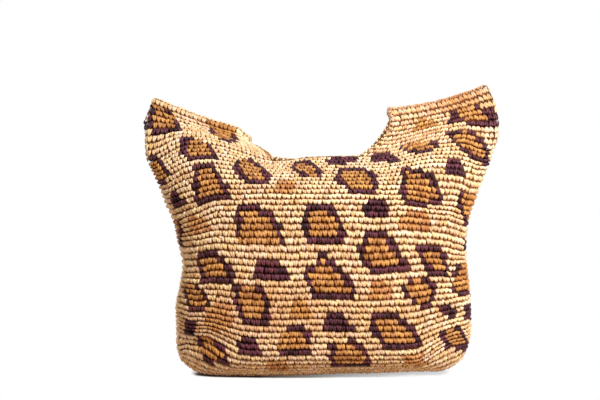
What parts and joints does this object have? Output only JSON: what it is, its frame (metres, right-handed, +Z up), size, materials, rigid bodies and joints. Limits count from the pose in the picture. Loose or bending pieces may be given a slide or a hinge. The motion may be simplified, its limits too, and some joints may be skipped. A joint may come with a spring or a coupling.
{
  "type": "crocheted raffia shoulder bag",
  "caption": "Soft spotted raffia shoulder bag, crocheted in rounds, with an oval base, a rounded body and a wide strap folded back over ear-like ends.",
  "frame": {"origin": "on the floor, on the flat underside of the base, under the middle of the bag", "axes": "+X along the bag's width to the right as seen from its front, +Y from its front to its back, +Z up"},
  "size_m": [0.4466, 0.1416, 0.3565],
  "materials": {
    "raffia": "crocheted raffia with a soft straw sheen: natural ground with dark brown outlined and tan spots"
  },
  "bodies": {
    "root": {"base": "raffia", "body": "raffia", "strap": "raffia"}
  },
  "joints": []
}
